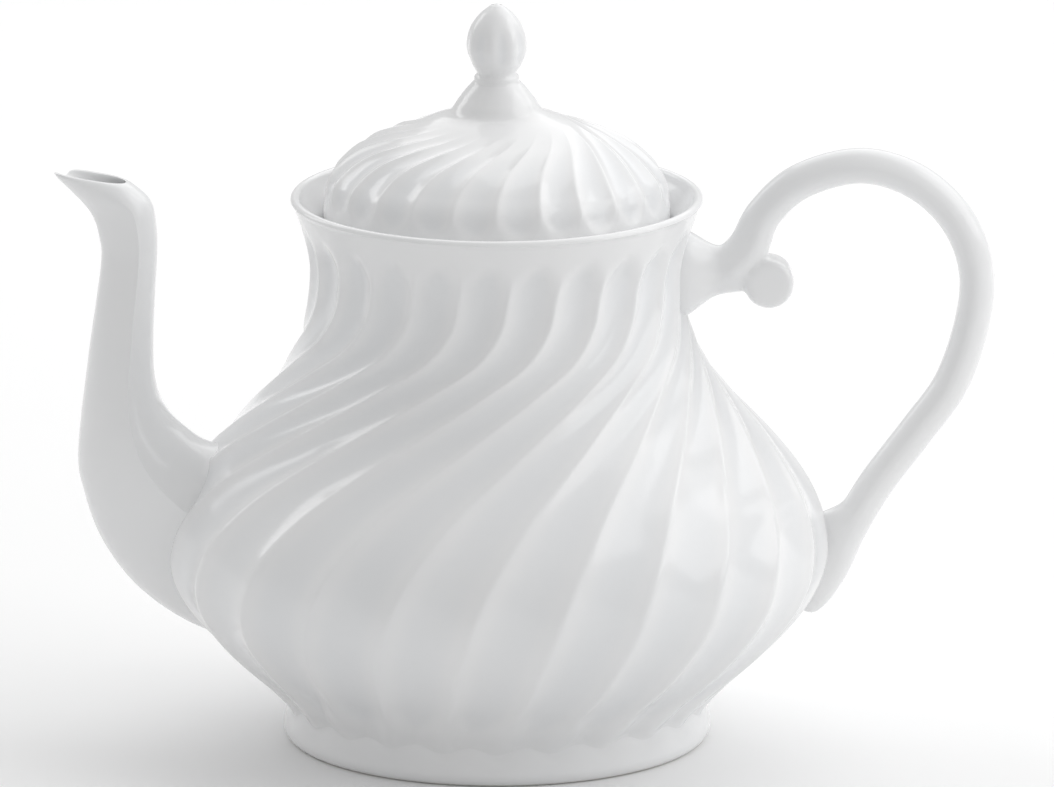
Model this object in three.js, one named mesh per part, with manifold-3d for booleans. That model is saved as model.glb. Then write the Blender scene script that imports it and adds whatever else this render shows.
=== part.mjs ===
// A porcelain teapot with spiral fluting: the cast pot on its foot ring, the spout and the
// scrolled handle that are luted on to it, and a lift-off lid with its flange, lug and bud knob.
// Millimetres, +Z up. The spout points along -X and the handle along +X.
// An angle round the pot is measured from the front, -Y, and grows towards the handle.

import * as THREE from 'three';
import Module from 'manifold-3d';
import { mergeVertices } from 'three/addons/utils/BufferGeometryUtils.js';

const wasm = await Module();
wasm.setup();

// ---- Fits between the pieces ----
const JOINT_GAP = 0.3; // the slip joint between two pieces that are luted together
const SEAT_CLEARANCE = 1.2; // between the lid and the gallery it sits in
const FLANGE_CLEARANCE = 1.2; // between the lid's flange and the ledge it passes
const LUG_CLEARANCE = 0.8; // between the lug, the ledge above it and the notch it lifts through

// ---- The lid, which sets the size of the pot's mouth ----
const LID_RADIUS = 41.5;
const LID_WALL = 3;
const LID_BAND = 12; // the smooth band below the lid's flutes
const LID_EDGE = 1.3; // height of the rounding under the lid's edge
const LID_EDGE_SETBACK = 1;
const LID_DOME_HEIGHT = 37; // from the ledge to the top of the cone, where the knob sits
const LID_TURN = 85; // degrees that a lid flute would turn on its way to the axis
const FLANGE_DEPTH = 10;
const FLANGE_WALL = 2.6;
const LUG_WIDTH = 8;
const LUG_THICKNESS = 3;
const VENT_RADIUS = 1.5;
const VENT_REACH = 17; // from the axis to the vent, at the back of the lid
const FLANGE_CHAMFER = 0.6;
const LUG_ROUNDING = 1; // how far the lug's end bulges, and its corners fall short
// The outside of the lid above its widest part: [share of the way out from the waist, share
// of the way up from the band to the top].
const LID_DOME = [
  [1, 0], [0.967, 0.23], [0.88, 0.365], [0.76, 0.48], [0.6, 0.57], [0.44, 0.638], [0.3, 0.705],
  [0.2, 0.772], [0.13, 0.872], [0.06, 1],
];

// ---- The bud knob ----
const WAIST_RADIUS = 4.8;
const BUD_RADIUS = 7.3;
const BUD_HEIGHT = 18.8;
const BUD_RIBS = 8;
const BUD_RIB_DEPTH = 0.35;
const WAIST_SPREAD = 0.5; // by which the waist's foot stands outside the waist
const WAIST_RISE = 0.12; // share of the bud's height where the waist is narrowest
// The bud above its waist: [share of its radius, share of its height].
const BUD_OUTLINE = [[0.85, 0.24], [1, 0.44], [0.84, 0.68], [0.42, 0.88], [0.12, 0.99]];

// ---- The pot ----
const RIM_HEIGHT = 133.3;
const BELLY_RADIUS = 79.95;
const BELLY_HEIGHT = 46.9;
const BODY_WALL = 2.8; // behind the flutes
const FLOOR_THICKNESS = 4;
const NECK_DROP = 18.1; // from the rim down to the narrowest part of the neck
const NECK_MARGIN = 3.3; // by which the neck stands outside the lid
const RIM_MARGIN = 7.9; // by which the rim stands outside the lid
const SHOULDER_SHARE = 0.463; // how far out from neck to belly the shoulder's bend lies
const SHOULDER_DROP = 0.53; // share of the climb from belly to neck that lies above that bend
const SHOULDER_SLOPE = [-0.67, 0.74]; // the way that the wall goes there
const RIM_SLOPE = [2.2, 6]; // how the wall comes up to the rim
const FOOT_PULL = [0.03, 0.12]; // shares of the rise to the belly: how the wall leaves the foot
const BELLY_PULL = [0.45, 0.21]; // shares of the rise below, and of the climb above
const SHOULDER_PULL = [0.18, 0.15]; // shares of that climb, below and above the bend
const NECK_PULL = [0.3, 0.28]; // share of the climb below, and of the drop from the rim above
const LIP_RADIUS = 0.9;
const LEDGE_DROP = 9.3; // from the rim down to the ledge that carries the lid
const LEDGE_WIDTH = 5.7;
const LEDGE_THICKNESS = 3;
const LEDGE_FILLET = 2.5;

// ---- The foot ring ----
const FOOT_HEIGHT = 8.7;
const FOOT_RADIUS = 50.4; // where the pot meets the ring
const FOOT_BULGE = 1;
const FOOT_WALL = 6.2;
const FOOT_CHAMFER = 1.4;
const FOOT_WIDEST = 0.32; // share of the foot's height where it bulges most
const FOOT_TUCK = 0.7; // share of the height where the bulge is halfway back
const FLOOR_RISE = 1.5; // how far the floor arches up inside the ring

// ---- The flutes, alike on the pot and on the lid ----
const FLUTES = 24;
const FLUTE_DEPTH = 1.3;
const FLUTE_FADE = 7; // the height over which a flute runs out
const FLUTE_TOP_DROP = 5; // smooth band below the rim
const LID_FLUTE_START = 0.3; // share of the lid's radius inside which it is smooth
const LID_FLUTE_FADE = 0.3; // share over which the flutes come in outside that
const TURN_LEAD = 0.32; // degrees of turn for each millimetre of height
const TURN_SHOULDER = 21.8; // half of the extra turn across the shoulder, in degrees
const TURN_SPREAD = 13.6; // height over which the shoulder's turn happens
const TURN_DROP = 45.1; // from the rim down to the middle of the shoulder's turn
const TURN_START = -12.3;

// ---- The spout ----
const SPOUT_WALL = 2.4;
const SPOUT_LIP_WALL = 1.1; // reached by the straight upper part of the neck
const SPOUT_THIN_FROM = 0.75; // share of the spout's length where its wall is down to the lip's
const SPOUT_OVERRUN = 2; // of the bore past the mouth
const STRAINER_RADIUS = 2.3;
const STRAINER_PITCH = 8;
const STRAINER_RISE = 3; // the strainer's middle, above the belly's widest part
const STRAINER_HOLES = 7; // one in the middle and six round it
// Half of the spout's depth along Y at evenly spaced stations, widest where it meets the pot.
const SPOUT_HALF_DEPTHS = [24, 21, 18.6, 16.6, 14.4, 12.2, 9.6, 7, 6.6, 6.6, 5.4];

// ---- The handle ----
const HANDLE_THICKNESS = 8.6; // seen from the side
const HANDLE_WIDTH = 9.6; // seen from the front
const SCROLL_RADIUS = 6;
const SCROLL_WIDTH = 10.4;
const SCROLL_REACH = 20.4; // from the neck out to the middle of the scroll
const SCROLL_DROP = 3.1; // below the narrowest part of the neck
const STRAND_TAPER = 0.3; // share by which the strand thins at its lower end
const STRAND_TAPER_FROM = 0.93; // share of the strand's length
const ARM_HEIGHT = 13.4;
const ARM_GROWTH = 2.4; // by which the arm is lower at the scroll than at the neck
const ARM_START = [-5, -2]; // outside the neck, and above its narrowest part
const ARM_END = [15, -0.6];
const ARM_FLARE = 3.2; // of each side of the arm where it meets the neck
const ARM_SIDE_FLARE = 0.8; // share of the flare that the arm has sideways
const ARM_FLARE_FADE = [0.2, 0.5]; // shares of the arm's length: where the flare ends, over what

// ---- Fineness of the facets ----
const COLUMNS = 2 * FLUTES; // a ridge and a hollow to each flute
const RING_SIDES = 48;
const SPOUT_SIDES = 20;
const SPOUT_STEPS = 18;
const HANDLE_SIDES = 10;
const HANDLE_STEPS = 40;
const ARM_STEPS = 5;
const SCROLL_SIDES = 16;
const HOLE_SIDES = 10;
const LUG_SIDES = 6;
const BUD_STEPS = 10;
const LID_STEPS = { outside: 18, inside: 9 };
const POT_STEPS = { outside: [5, 6, 9, 4], inside: [4, 4, 5, 2] }; // foot, belly, shoulder, neck
const MERGE_DISTANCE = 1e-4;

// ---- What follows from the sizes above ----
const neckRadius = LID_RADIUS + NECK_MARGIN;
const neckHeight = RIM_HEIGHT - NECK_DROP;
const rimRadius = LID_RADIUS + RIM_MARGIN;
const galleryRadius = LID_RADIUS + SEAT_CLEARANCE;
const ledgeHeight = RIM_HEIGHT - LEDGE_DROP;
const ledgeRadius = galleryRadius - LEDGE_WIDTH;
const flangeRadius = ledgeRadius - FLANGE_CLEARANCE;
const lidSeat = ledgeHeight + JOINT_GAP;
const lidTop = ledgeHeight + LID_DOME_HEIGHT;
const footInside = FOOT_RADIUS - FOOT_WALL;
const floorTop = FOOT_HEIGHT + FLOOR_THICKNESS;
const lugTop = ledgeHeight - LEDGE_THICKNESS - LUG_CLEARANCE;
const lugReach = ledgeRadius + LEDGE_WIDTH / 2;

const along = (x, y) => new THREE.Vector2(x, y);
const shareOf = ([x, y], length) => along(x * length, y * length);

// ---- Solids: joins and cuts ----

// A closed geometry as a solid that can be joined and cut.
function solid(geometry) {
  const bare = new THREE.BufferGeometry();
  bare.setAttribute('position', geometry.getAttribute('position'));
  bare.setIndex(geometry.index);
  const merged = mergeVertices(bare, MERGE_DISTANCE);
  const corners = merged.index.array;
  const faces = [];
  for (let i = 0; i < corners.length; i += 3) {
    const [a, b, c] = corners.slice(i, i + 3);
    if (a !== b && b !== c && c !== a) faces.push(a, b, c);
  }
  return new wasm.Manifold(new wasm.Mesh({
    numProp: 3,
    vertProperties: new Float32Array(merged.getAttribute('position').array),
    triVerts: new Uint32Array(faces),
  }));
}

// A named mesh of glazed porcelain.
function porcelain(name, shape) {
  const cut = shape.getMesh();
  const geometry = new THREE.BufferGeometry();
  geometry.setAttribute('position', new THREE.BufferAttribute(cut.vertProperties, 3));
  geometry.setIndex(new THREE.BufferAttribute(cut.triVerts, 1));
  geometry.computeVertexNormals();
  const glaze = new THREE.MeshStandardMaterial({ color: 0xf1f1ef, roughness: 0.16, metalness: 0 });
  const mesh = new THREE.Mesh(geometry, glaze);
  mesh.name = name;
  return mesh;
}

// ---- Turned pieces ----

// A lathe about +Z. shape(column, point) may move a point of the profile at a column, and
// returns its radius and the angle in degrees that it is turned by.
function turned(profile, columns, shape) {
  const lathe = new THREE.LatheGeometry(profile, columns);
  const position = lathe.getAttribute('position');
  if (shape) {
    for (let i = 0; i < position.count; i++) {
      const column = Math.floor(i / profile.length);
      const point = profile[i % profile.length];
      const { radius, turn } = shape(column, point);
      const angle = (column / columns) * 2 * Math.PI + THREE.MathUtils.degToRad(turn);
      position.setXYZ(i, radius * Math.sin(angle), point.y, radius * Math.cos(angle));
    }
  }
  return lathe.rotateX(Math.PI / 2);
}

// How far round a flute of the pot has turned at a height, in degrees.
function potTurn(z) {
  const shoulder = (z - (RIM_HEIGHT - TURN_DROP)) / TURN_SPREAD;
  return TURN_START + TURN_LEAD * z + TURN_SHOULDER * Math.tanh(shoulder);
}

// 0 below the start of a fade and 1 past its end.
const fade = (value, start, length) => THREE.MathUtils.smoothstep(value, start, start + length);

// The depth of the pot's flutes at a height: they run out at the foot and below the rim.
function potFluteDepth(z) {
  const low = fade(z, FOOT_HEIGHT, FLUTE_FADE);
  const high = fade(RIM_HEIGHT - FLUTE_TOP_DROP - z, 0, FLUTE_FADE);
  return FLUTE_DEPTH * low * high;
}

// ---- The pot ----

// The outside of the pot, from the foot ring up to the rim: belly, shoulder, neck and flare.
function potOutline(steps) {
  const foot = along(FOOT_RADIUS, FOOT_HEIGHT);
  const belly = along(BELLY_RADIUS, BELLY_HEIGHT);
  const neck = along(neckRadius, neckHeight);
  const rim = along(rimRadius, RIM_HEIGHT);
  const rise = belly.y - foot.y;
  const climb = neck.y - belly.y;
  const shoulder = neck.clone().lerp(belly, SHOULDER_SHARE).setY(neckHeight - SHOULDER_DROP * climb);
  const slope = shareOf(SHOULDER_SLOPE, climb);
  const curves = [
    new THREE.CubicBezierCurve(
      foot, foot.clone().add(shareOf(FOOT_PULL, rise)),
      belly.clone().sub(along(0, BELLY_PULL[0] * rise)), belly),
    new THREE.CubicBezierCurve(
      belly, belly.clone().add(along(0, BELLY_PULL[1] * climb)),
      shoulder.clone().addScaledVector(slope, -SHOULDER_PULL[0]), shoulder),
    new THREE.CubicBezierCurve(
      shoulder, shoulder.clone().addScaledVector(slope, SHOULDER_PULL[1]),
      neck.clone().sub(along(0, NECK_PULL[0] * climb)), neck),
    new THREE.CubicBezierCurve(
      neck, neck.clone().add(along(0, NECK_PULL[1] * NECK_DROP)),
      rim.clone().sub(along(...RIM_SLOPE)), rim),
  ];
  return curves.flatMap((curve, i) => curve.getPoints(steps[i]).slice(i ? 1 : 0));
}

// A profile moved sideways by a distance, to its left when walked upwards if positive.
function offset(profile, distance) {
  return profile.map((point, i) => {
    const before = profile[Math.max(i - 1, 0)];
    const after = profile[Math.min(i + 1, profile.length - 1)];
    const way = after.clone().sub(before).normalize();
    return along(point.x - way.y * distance, point.y + way.x * distance);
  });
}

// The pot's outside as one filled solid, grown by a gap: what the luted pieces are cut by.
function potEnvelope(gap) {
  const outline = offset(potOutline(POT_STEPS.outside), -gap);
  const top = outline[outline.length - 1];
  const profile = [along(0, FOOT_HEIGHT - gap), along(outline[0].x, FOOT_HEIGHT - gap), ...outline.slice(1),
    along(0, top.y)];
  return solid(turned(profile, COLUMNS, (column, point) => ({
    radius: Math.max(point.x - (column % 2) * potFluteDepth(point.y), 0),
    turn: potTurn(point.y),
  })));
}

// The hollow pot: fluted outside, smooth inside, with a rolled lip and the ledge for the lid.
function potBody() {
  const outside = potOutline(POT_STEPS.outside);
  outside[outside.length - 1].y -= LIP_RADIUS;
  const inside = offset(potOutline(POT_STEPS.inside), BODY_WALL + FLUTE_DEPTH)
    .filter((point) => point.y > floorTop + 1 && point.y < neckHeight + 1)
    .reverse();
  const underLedge = ledgeHeight - LEDGE_THICKNESS;
  const profile = [
    along(0, FOOT_HEIGHT + FLOOR_RISE),
    along(footInside, FOOT_HEIGHT),
    ...outside,
    along(rimRadius - LIP_RADIUS, RIM_HEIGHT),
    along(rimRadius - 2 * LIP_RADIUS, RIM_HEIGHT - LIP_RADIUS),
    along(galleryRadius, ledgeHeight),
    along(ledgeRadius, ledgeHeight),
    along(ledgeRadius, underLedge),
    along(inside[0].x, underLedge - LEDGE_FILLET),
    ...inside,
    along(FOOT_RADIUS, floorTop),
    along(0, floorTop),
  ];
  const firstOutside = profile.indexOf(outside[0]);
  const lastOutside = firstOutside + outside.length;
  const fluted = new Set(profile.slice(firstOutside, lastOutside));
  let pot = solid(turned(profile, COLUMNS, (column, point) => ({
    radius: point.x - (fluted.has(point) ? (column % 2) * potFluteDepth(point.y) : 0),
    turn: potTurn(point.y),
  })));
  for (const hole of strainerHoles()) pot = pot.subtract(hole);
  return pot.subtract(lugNotch());
}

// The holes through the pot's wall behind the spout.
function strainerHoles() {
  const height = BELLY_HEIGHT + STRAINER_RISE;
  const length = BELLY_RADIUS / 2;
  const holes = [];
  for (let i = 0; i < STRAINER_HOLES; i++) {
    const reach = i ? STRAINER_PITCH : 0;
    const angle = (i * 2 * Math.PI) / (STRAINER_HOLES - 1);
    const hole = new THREE.CylinderGeometry(STRAINER_RADIUS, STRAINER_RADIUS, length, HOLE_SIDES);
    hole.rotateZ(Math.PI / 2);
    hole.translate(-BELLY_RADIUS, reach * Math.cos(angle), height + reach * Math.sin(angle));
    holes.push(solid(hole));
  }
  return holes;
}

// The notch in the ledge, at the back, that the lid's lug lifts through.
function lugNotch() {
  const reach = lugReach + LUG_CLEARANCE - ledgeRadius / 2;
  const notch = new THREE.BoxGeometry(LUG_WIDTH + 2 * LUG_CLEARANCE, reach, 3 * LEDGE_THICKNESS);
  notch.translate(0, ledgeRadius / 2 + reach / 2, ledgeHeight - LEDGE_THICKNESS / 2);
  return solid(notch);
}

// ---- The foot ring ----

function footRing() {
  const top = FOOT_HEIGHT - JOINT_GAP;
  const profile = [
    along(footInside + FOOT_CHAMFER, 0),
    along(FOOT_RADIUS - FOOT_CHAMFER, 0),
    along(FOOT_RADIUS + FOOT_BULGE / 2, FOOT_CHAMFER / 2),
    along(FOOT_RADIUS + FOOT_BULGE, FOOT_WIDEST * FOOT_HEIGHT),
    along(FOOT_RADIUS + FOOT_BULGE / 2, FOOT_TUCK * FOOT_HEIGHT),
    along(FOOT_RADIUS, top),
    along(footInside, top),
    along(footInside, FOOT_CHAMFER),
  ];
  return solid(turned([...profile, profile[0]], RING_SIDES));
}

// ---- Lofts ----

// A closed tube of varying oval section. ring(t) gives its middle, the half vector across it
// in the plane of the handle and spout, and its half depth along Y.
function loft(ring, sides, steps) {
  const tube = new THREE.CylinderGeometry(1, 1, 1, sides, steps);
  const position = tube.getAttribute('position');
  for (let i = 0; i < position.count; i++) {
    const { middle, across, depth } = ring(0.5 - position.getY(i));
    const share = position.getX(i);
    position.setXYZ(
      i, middle.x + share * across.x, depth * position.getZ(i), middle.y + share * across.y);
  }
  return solid(tube);
}

// A smooth value through evenly spaced stations, at a share t of the way.
function between(values, t) {
  const curve = new THREE.SplineCurve(values.map((value, i) => along(i / (values.length - 1), value)));
  return curve.getPoint(THREE.MathUtils.clamp(t, 0, 1)).y;
}

// ---- The spout ----

// The spout's edges in the plane y = 0, from inside the pot to the mouth. Each is a distance
// outside the belly, and a height above the belly's widest part or above the rim.
function spoutEdges() {
  const low = (out, up) => along(-(BELLY_RADIUS + out), BELLY_HEIGHT + up);
  const high = (out, up) => along(-(BELLY_RADIUS + out), RIM_HEIGHT + up);
  const under = new THREE.SplineCurve([
    low(-26, -25), low(-8, -20), low(5.9, -10.8), low(15, 1.2), low(19.6, 14), low(20.8, 24), low(18.2, 47),
    high(15.2, -18), high(15.6, -9.8), high(18.3, -3.2), high(26.6, 4.6),
  ]);
  const over = new THREE.SplineCurve([
    low(-26, 26), low(-12, 24.6), low(-4, 29.5), low(0.2, 34.6), low(2, 40), low(2.6, 47), low(2.3, 59),
    high(1.6, -15.6), high(1.8, -8), high(3.1, -2.2), high(8.1, 3.6),
  ]);
  return { under, over };
}

function spoutLoft(inset) {
  const { under, over } = spoutEdges();
  return loft((t) => {
    const low = under.getPoint(t);
    const high = over.getPoint(t);
    const middle = low.clone().lerp(high, 0.5);
    const wall = inset * THREE.MathUtils.lerp(SPOUT_WALL, SPOUT_LIP_WALL, Math.min(t / SPOUT_THIN_FROM, 1));
    const across = high.clone().sub(middle);
    across.setLength(across.length() - wall);
    if (inset && t === 1) middle.y += SPOUT_OVERRUN;
    return { middle, across, depth: between(SPOUT_HALF_DEPTHS, t) - wall };
  }, SPOUT_SIDES, SPOUT_STEPS);
}

function spout(envelope) {
  return spoutLoft(0).subtract(spoutLoft(1)).subtract(envelope);
}

// ---- The handle ----

// The line that the handle's strand follows, from the arm at the neck over the top of the
// loop and down to its root on the belly.
function handleLine() {
  const fromNeck = (out, up) => along(neckRadius + out, neckHeight + up);
  const fromBelly = (out, up) => along(BELLY_RADIUS + out, BELLY_HEIGHT + up);
  const loop = (out, down) => along(BELLY_RADIUS + out, RIM_HEIGHT - down);
  return new THREE.SplineCurve([
    fromNeck(9, -0.5), fromNeck(14.4, 5), fromNeck(19.2, 13.4), fromNeck(28, 21.4),
    loop(7.2, -7.1), loop(20.1, -3.5), loop(29.9, 5.3), loop(34.9, 17), loop(34.6, 29.5), loop(28.9, 46),
    fromBelly(20.1, 27.8), fromBelly(10.7, 14.9), fromBelly(4.6, 3.6), fromBelly(1, -5),
    fromBelly(-5.6, -16.8),
  ]);
}

function handleStrand() {
  const line = handleLine();
  return loft((t) => {
    const middle = line.getPoint(t);
    const way = line.getTangent(t);
    const taper = 1 - STRAND_TAPER * fade(t, STRAND_TAPER_FROM, 1 - STRAND_TAPER_FROM);
    const across = along(way.y, -way.x).multiplyScalar((taper * HANDLE_THICKNESS) / 2);
    return { middle, across, depth: (taper * HANDLE_WIDTH) / 2 };
  }, HANDLE_SIDES, HANDLE_STEPS);
}

// The short arm between the neck and the strand, flaring where it meets the neck.
function handleArm() {
  const start = along(neckRadius + ARM_START[0], neckHeight + ARM_START[1]);
  const end = along(neckRadius + ARM_END[0], neckHeight + ARM_END[1]);
  return loft((t) => {
    const flare = ARM_FLARE * (1 - fade(t, ...ARM_FLARE_FADE));
    const across = along(0, (ARM_GROWTH * t - ARM_HEIGHT) / 2 - flare);
    const depth = HANDLE_WIDTH / 2 + ARM_SIDE_FLARE * flare;
    return { middle: start.clone().lerp(end, t), across, depth };
  }, HANDLE_SIDES, ARM_STEPS);
}

function handleScroll() {
  const scroll = new THREE.CylinderGeometry(SCROLL_RADIUS, SCROLL_RADIUS, SCROLL_WIDTH, SCROLL_SIDES);
  scroll.translate(neckRadius + SCROLL_REACH, 0, neckHeight - SCROLL_DROP);
  return solid(scroll);
}

function handle(envelope) {
  return handleStrand().add(handleArm()).add(handleScroll()).subtract(envelope);
}

// ---- The lid ----

// How far round a flute of the lid has turned at a radius, in degrees.
const lidTurn = (radius) => LID_TURN * Math.max(1 - radius / LID_RADIUS, 0) ** 2;

function lidOutline(steps) {
  const bandTop = lidSeat + LID_BAND / 2;
  const rise = lidTop - bandTop;
  const spread = LID_RADIUS - WAIST_RADIUS;
  const points = LID_DOME.map(([out, up]) => along(WAIST_RADIUS + out * spread, bandTop + up * rise));
  return new THREE.SplineCurve(points).getPoints(steps);
}

function lidFluteDepth(point) {
  const low = fade(point.y, lidSeat + LID_BAND - FLUTE_FADE / 2, FLUTE_FADE / 2);
  const high = fade(point.x, LID_FLUTE_START * LID_RADIUS, LID_FLUTE_FADE * LID_RADIUS);
  return FLUTE_DEPTH * low * high;
}

function lid() {
  const outside = lidOutline(LID_STEPS.outside);
  const inside = offset(lidOutline(LID_STEPS.inside), LID_WALL + FLUTE_DEPTH)
    .filter((point) => point.x > LID_WALL && point.x < flangeRadius - 1)
    .reverse();
  const seatInside = flangeRadius - FLANGE_WALL;
  const profile = [
    along(0, inside[0].y),
    ...inside,
    along(seatInside, lidSeat + LID_BAND / 2),
    along(seatInside, lidSeat),
    along(LID_RADIUS - LID_EDGE_SETBACK, lidSeat),
    along(LID_RADIUS - LID_EDGE_SETBACK / 5, lidSeat + LID_EDGE),
    ...outside,
    along(0, lidTop),
  ];
  const fluted = new Set(outside);
  const shell = solid(turned(profile, COLUMNS, (column, point) => ({
    radius: point.x - (fluted.has(point) ? (column % 2) * lidFluteDepth(point) : 0),
    turn: lidTurn(point.x),
  })));
  const vent = new THREE.CylinderGeometry(VENT_RADIUS, VENT_RADIUS, LID_DOME_HEIGHT, HOLE_SIDES);
  vent.rotateX(Math.PI / 2);
  vent.translate(0, VENT_REACH, lidTop);
  return shell.subtract(solid(vent));
}

function lidFlange() {
  const top = lidSeat - JOINT_GAP;
  const bottom = ledgeHeight - FLANGE_DEPTH;
  const profile = [
    along(flangeRadius - FLANGE_WALL, bottom),
    along(flangeRadius - FLANGE_CHAMFER, bottom),
    along(flangeRadius, bottom + FLANGE_CHAMFER),
    along(flangeRadius, top),
    along(flangeRadius - FLANGE_WALL, top),
  ];
  return solid(turned([...profile, profile[0]], RING_SIDES));
}

// The tongue on the flange that catches under the ledge when the lid is turned.
function lidLug() {
  const start = flangeRadius + JOINT_GAP;
  const tongue = new THREE.Shape();
  tongue.moveTo(-LUG_WIDTH / 2, start);
  tongue.lineTo(LUG_WIDTH / 2, start);
  tongue.lineTo(LUG_WIDTH / 2, lugReach - LUG_ROUNDING);
  tongue.quadraticCurveTo(0, lugReach + LUG_ROUNDING, -LUG_WIDTH / 2, lugReach - LUG_ROUNDING);
  const lug = new THREE.ExtrudeGeometry(tongue, {
    depth: LUG_THICKNESS, bevelEnabled: false, curveSegments: LUG_SIDES,
  });
  lug.translate(0, 0, lugTop - LUG_THICKNESS);
  return solid(lug);
}

// The ribbed bud on its waist.
function lidKnob() {
  const base = lidTop + JOINT_GAP;
  const profile = [
    along(0, base),
    along(WAIST_RADIUS + WAIST_SPREAD, base),
    ...new THREE.SplineCurve([
      along(WAIST_RADIUS, base + WAIST_RISE * BUD_HEIGHT),
      ...BUD_OUTLINE.map(([out, up]) => along(out * BUD_RADIUS, base + up * BUD_HEIGHT)),
    ]).getPoints(BUD_STEPS),
    along(0, base + BUD_HEIGHT),
  ];
  return solid(turned(profile, 2 * BUD_RIBS, (column, point) => ({
    radius: Math.max(
      point.x - (column % 2) * BUD_RIB_DEPTH * fade(point.x, WAIST_RADIUS, BUD_RADIUS - WAIST_RADIUS), 0),
    turn: 0,
  })));
}

// ---- The teapot ----

const envelope = potEnvelope(JOINT_GAP);
const group = new THREE.Group();
group.add(
  porcelain('pot_body', potBody()),
  porcelain('foot_ring', footRing()),
  porcelain('spout', spout(envelope)),
  porcelain('handle', handle(envelope)),
  porcelain('lid', lid()),
  porcelain('lid_flange', lidFlange()),
  porcelain('lid_lug', lidLug()),
  porcelain('lid_knob', lidKnob()),
);

// The origin is on the table, midway between the spout's tip and the back of the handle.
const extent = new THREE.Box3().setFromObject(group);
group.position.x = -(extent.min.x + extent.max.x) / 2;

export default group;
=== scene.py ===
"""A glazed porcelain teapot with spiral flutes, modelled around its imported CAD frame.

Lengths are in metres, +Z is up, the spout points along -X and the handle along +X. An angle
round the pot is measured in degrees from the front, -Y, and grows towards the handle.
"""

import math

import bmesh
import bpy
from bpy.props import FloatProperty, FloatVectorProperty, IntProperty, PointerProperty
from mathutils import Matrix, Vector
from mathutils.geometry import interpolate_bezier


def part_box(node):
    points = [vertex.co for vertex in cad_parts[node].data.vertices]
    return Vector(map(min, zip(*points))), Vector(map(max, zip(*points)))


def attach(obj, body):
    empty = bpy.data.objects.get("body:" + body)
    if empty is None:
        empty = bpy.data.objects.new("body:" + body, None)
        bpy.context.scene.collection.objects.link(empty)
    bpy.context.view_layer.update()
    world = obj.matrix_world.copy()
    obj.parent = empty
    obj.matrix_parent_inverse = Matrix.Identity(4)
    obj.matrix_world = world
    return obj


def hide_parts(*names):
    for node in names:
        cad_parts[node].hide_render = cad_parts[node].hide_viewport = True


bl_info = {
    "name": "Fluted Teapot",
    "version": (1, 0, 0),
    "blender": (4, 5, 0),
    "location": "View3D > Sidebar > Teapot",
    "description": "Models a spirally fluted porcelain teapot around its CAD frame",
    "category": "Add Mesh",
}

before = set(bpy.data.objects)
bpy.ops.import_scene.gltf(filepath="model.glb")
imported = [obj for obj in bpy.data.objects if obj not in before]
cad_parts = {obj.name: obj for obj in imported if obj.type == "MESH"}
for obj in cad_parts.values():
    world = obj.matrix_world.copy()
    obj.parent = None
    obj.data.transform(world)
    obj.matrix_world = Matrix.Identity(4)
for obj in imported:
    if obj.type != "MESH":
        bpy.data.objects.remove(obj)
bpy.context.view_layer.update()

MM = 0.001

# ---- Where the CAD pieces are ----
POT_LOW, POT_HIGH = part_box("pot_body")
FOOT_LOW, FOOT_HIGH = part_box("foot_ring")
LID_LOW, LID_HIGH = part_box("lid")
FLANGE_LOW, FLANGE_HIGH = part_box("lid_flange")
LUG_LOW, LUG_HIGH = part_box("lid_lug")
KNOB_LOW, KNOB_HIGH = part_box("lid_knob")
AXIS_X = (FOOT_LOW.x + FOOT_HIGH.x) / 2

# ---- Fineness of the meshes ----
COLUMNS_PER_FLUTE = 16
RING_COLUMNS = 192
ROUNDING_STEPS = 6
OUTLINE_STEPS = (26, 26, 36, 22)
INNER_STEPS = (8, 8, 12, 8)
SPOUT_COLUMNS = 96
SPOUT_ROWS = 120
HANDLE_COLUMNS = 48
HANDLE_ROWS = 240
ARM_ROWS = 24
LID_STEPS = 84
LID_INNER_STEPS = 26
KNOB_STEPS = 60
KNOB_COLUMNS_PER_RIB = 20

# Degrees past which an edge shows as sharp: usually, and on pieces with tight roundings.
SHARP_FROM = 38
SHARP_FROM_STEEP = 60


def size(name, description, default):
    """A length that a user may set."""
    return FloatProperty(
        name=name, description=description, default=default, unit="LENGTH", precision=5)


def colour(name, description, default):
    """A colour that a user may set."""
    return FloatVectorProperty(
        name=name, description=description, default=default, subtype="COLOR", size=3, min=0, max=1)


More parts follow.
